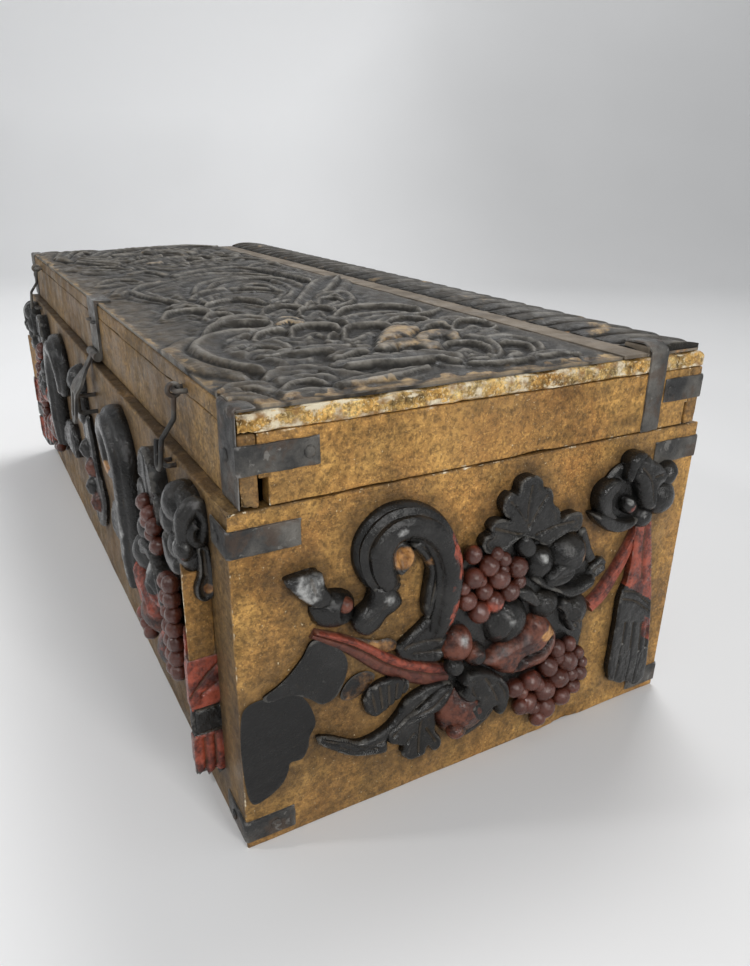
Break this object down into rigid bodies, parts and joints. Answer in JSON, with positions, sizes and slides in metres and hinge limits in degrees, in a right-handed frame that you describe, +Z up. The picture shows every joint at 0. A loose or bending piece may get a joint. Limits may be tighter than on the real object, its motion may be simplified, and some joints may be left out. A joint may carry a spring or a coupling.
{
  "type": "coffer chest",
  "caption": "Small oblong wooden coffer with a flat hinged lid, carved and painted fruit, horns and ribbons on its sides, iron corner straps, a hasp and wire hooks.",
  "frame": {"origin": "middle of the underside, on the surface that the chest stands on", "axes": "+X to the chest's right end, +Y to its hinged back, +Z up; the hasp is at the front, -Y"},
  "size_m": [0.645, 0.2891, 0.2181],
  "materials": {
    "gilded_boards": "worn ochre-gold paint on old boards",
    "black_top": "worn black-brown varnish, satin",
    "black_carving": "black paint, satin, rubbed to brown on the crowns",
    "red_carving": "worn brick-red and black paint, satin",
    "wrought_iron": "dark blackened strap iron and wire"
  },
  "bodies": {
    "case": {"front_board": "gilded_boards", "back_board": "gilded_boards", "right_end_board": "gilded_boards", "left_end_board": "gilded_boards", "bottom_board": "gilded_boards", "upper_corner_straps": "wrought_iron", "lower_corner_straps": "wrought_iron", "case_nails": "wrought_iron", "hinge_case_leaf_right": "wrought_iron", "hinge_case_leaf_left": "wrought_iron", "hinge_pins": "wrought_iron", "hasp_staple": "wrought_iron", "hook_eyes": "wrought_iron", "front_right_boss": "black_carving", "front_right_tail": "red_carving", "front_right_festoon": "black_carving", "front_right_horn": "black_carving", "front_left_boss": "black_carving", "front_left_tail": "red_carving", "front_left_festoon": "black_carving", "front_left_horn": "black_carving", "front_centre_spray": "black_carving", "right_end_festoon": "black_carving", "right_end_horn": "black_carving", "right_end_rear_boss": "black_carving", "right_end_rear_tail": "red_carving", "right_end_rear_ribbon": "red_carving", "right_end_front_boss": "black_carving", "right_end_front_ribbon": "red_carving", "right_end_long_leaf": "black_carving", "right_end_short_leaf": "black_carving", "left_end_festoon": "black_carving", "left_end_horn": "black_carving", "left_end_rear_boss": "black_carving", "left_end_rear_tail": "red_carving", "left_end_rear_ribbon": "red_carving", "left_end_front_boss": "black_carving", "left_end_front_ribbon": "red_carving", "left_end_long_leaf": "black_carving", "left_end_short_leaf": "black_carving", "right_end_front_leaf": "black_carving"},
    "lid": {"lid_front_rail": "gilded_boards", "lid_back_rail": "gilded_boards", "lid_right_rail": "gilded_boards", "lid_left_rail": "gilded_boards", "lid_top_board": "gilded_boards", "lid_carved_panel": "black_top", "lid_fillet": "black_top", "lid_gadroon_band": "black_top", "lid_corner_straps": "wrought_iron", "lid_end_strap": "wrought_iron", "lid_nails": "wrought_iron", "hinge_lid_leaf_right": "wrought_iron", "hinge_lid_leaf_left": "wrought_iron", "hasp_strap": "wrought_iron", "hasp_pin": "wrought_iron", "hook_staples": "wrought_iron"},
    "hasp_plate": {"hasp_plate": "wrought_iron"},
    "hook_right": {"hook_right": "wrought_iron"},
    "hook_left": {"hook_left": "wrought_iron"}
  },
  "joints": [
    {"name": "lid_hinge", "type": "hinge", "parent": "case", "child": "lid", "pos_m": [0, 0.1364, 0.1717], "axis": [-1, 0, 0], "range_deg": [0, 105]},
    {"name": "hasp_swing", "type": "hinge", "parent": "lid", "child": "hasp_plate", "pos_m": [0.03, -0.1298, 0.177], "axis": [-1, 0, 0], "range_deg": [0, 135]},
    {"name": "hook_right_swing", "type": "hinge", "parent": "lid", "child": "hook_right", "pos_m": [0.244, -0.1315, 0.2045], "axis": [-1, 0, 0], "range_deg": [0, 130]},
    {"name": "hook_left_swing", "type": "hinge", "parent": "lid", "child": "hook_left", "pos_m": [-0.244, -0.1315, 0.2045], "axis": [-1, 0, 0], "range_deg": [0, 130]}
  ]
}
